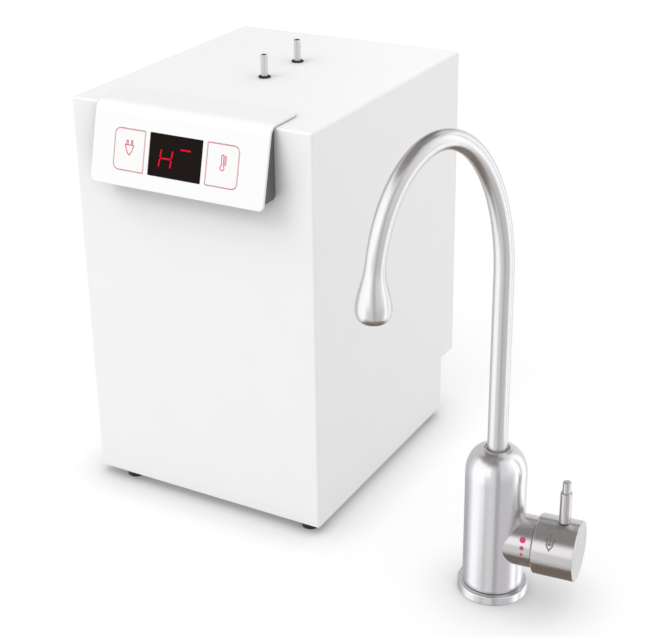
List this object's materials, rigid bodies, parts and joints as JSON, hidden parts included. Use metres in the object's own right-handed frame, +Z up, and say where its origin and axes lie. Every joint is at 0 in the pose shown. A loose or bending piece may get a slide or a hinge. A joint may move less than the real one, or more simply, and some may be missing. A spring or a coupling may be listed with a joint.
{
  "type": "under-sink water dispenser",
  "caption": "Boxy under-counter water heater with a control hood folded over its top edge, beside a swan-neck faucet with a drop-shaped outlet and a side knob with a lever pin.",
  "frame": {"origin": "on the floor, in the middle of the ground that the cabinet and the faucet cover together", "axes": "+Z up, -Y towards the control hood and the front, +X from the cabinet towards the faucet"},
  "size_m": [0.484, 0.4072, 0.4163],
  "materials": {
    "white_steel": "satin powder coat, white",
    "galvanised": "zinc-coated sheet, bright grey",
    "stainless": "drawn stainless steel, satin",
    "white_gloss": "polished white",
    "dark_plastic": "moulded, dark grey",
    "black_lens": "smoked, polished black",
    "black_rubber": "moulded rubber, black",
    "green_board": "solder mask, green",
    "foam": "closed-cell foam, cream",
    "brass": "turned brass",
    "white_plastic": "moulded, white",
    "brushed_steel": "brushed round the axis",
    "coil_blue": "moulded winding cover, blue"
  },
  "bodies": {
    "dispenser": {"outer_case": "white_steel", "base_tray": "galvanised", "rear_panel": "galvanised", "recess_panel": "galvanised", "foot_front_left": "black_rubber", "foot_front_right": "black_rubber", "foot_rear_left": "black_rubber", "foot_rear_right": "black_rubber", "control_hood": "white_gloss", "display_window": "black_lens", "control_board": "green_board", "digit_display": "dark_plastic", "eco_switch": "dark_plastic", "keep_warm_switch": "dark_plastic", "control_housing": "dark_plastic", "stub_grommet_front": "black_rubber", "stub_grommet_rear": "black_rubber", "hot_outlet_pipe": "stainless", "cold_inlet_pipe": "stainless", "tank_shell": "stainless", "tank_lid": "stainless", "lid_seal": "black_rubber", "insulation_jacket": "foam", "tank_stand": "galvanised", "heating_element": "stainless", "overheat_cutout": "dark_plastic", "temperature_probe": "stainless", "chassis_plate": "galvanised", "power_board": "green_board", "transformer": "coil_blue", "heater_relay": "dark_plastic", "terminal_block": "white_plastic", "fill_valve_body": "brass", "fill_valve_coil": "coil_blue", "tank_feed_pipe": "stainless", "drain_pipe": "stainless", "drain_cap": "black_rubber", "cord_gland": "black_rubber", "base_flange": "brushed_steel", "faucet_body": "brushed_steel", "swivel_bush": "dark_plastic", "valve_cartridge": "white_plastic", "cartridge_nut": "brass"},
    "spout": {"spout_tube": "brushed_steel", "spout_seal_lower": "black_rubber", "spout_seal_upper": "black_rubber", "outlet_nozzle": "dark_plastic"},
    "knob": {"valve_knob": "brushed_steel", "lever_pin": "brushed_steel", "cartridge_spindle": "brass"},
    "eco_button": {"eco_key": "white_gloss"},
    "keep_warm_button": {"keep_warm_key": "white_gloss"}
  },
  "joints": [
    {"name": "spout_swivel", "type": "hinge", "parent": "dispenser", "child": "spout", "pos_m": [0.16745, -0.08229, 0.1345], "axis": [0, 0, 1], "continuous": true},
    {"name": "knob_turn", "type": "hinge", "parent": "dispenser", "child": "knob", "pos_m": [0.16745, -0.08229, 0.0525], "axis": [0.9945, 0.1045, 0], "range_deg": [0, 90]},
    {"name": "eco_press", "type": "slide", "parent": "dispenser", "child": "eco_button", "axis": [0, 0.969, -0.247], "range_m": [0, 0.0005], "stiffness_N_per_m": 1500, "springref_m": -0.0003},
    {"name": "keep_warm_press", "type": "slide", "parent": "dispenser", "child": "keep_warm_button", "axis": [0, 0.969, -0.247], "range_m": [0, 0.0005], "stiffness_N_per_m": 1500, "springref_m": -0.0003}
  ]
}
